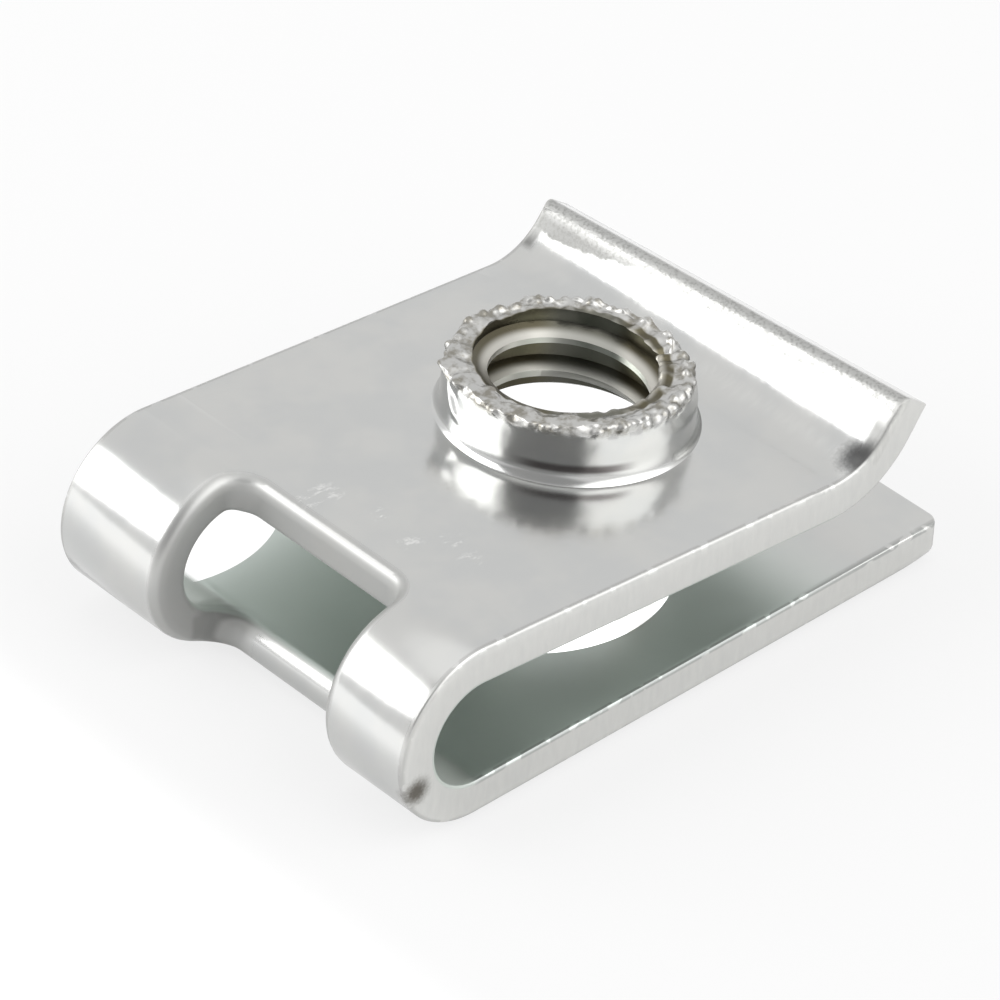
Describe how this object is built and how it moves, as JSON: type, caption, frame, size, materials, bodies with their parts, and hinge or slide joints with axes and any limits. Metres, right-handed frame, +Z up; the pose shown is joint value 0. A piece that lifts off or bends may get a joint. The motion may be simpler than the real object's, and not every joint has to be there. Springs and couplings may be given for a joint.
{
  "type": "u clip speed nut",
  "caption": "U-shaped steel clip that pushes onto a panel edge and holds a threaded collar over its screw hole.",
  "frame": {"origin": "centre of the screw hole at the underside of the lower leaf", "axes": "+X from the closed end to the open end with its lip, +Y across the clip, +Z up from the lower leaf towards the collar"},
  "size_m": [0.0235, 0.016, 0.0077],
  "materials": {
    "plated_steel": "bright zinc plate with satin cut edges"
  },
  "bodies": {
    "root": {"clip_nut": "plated_steel"}
  },
  "joints": []
}
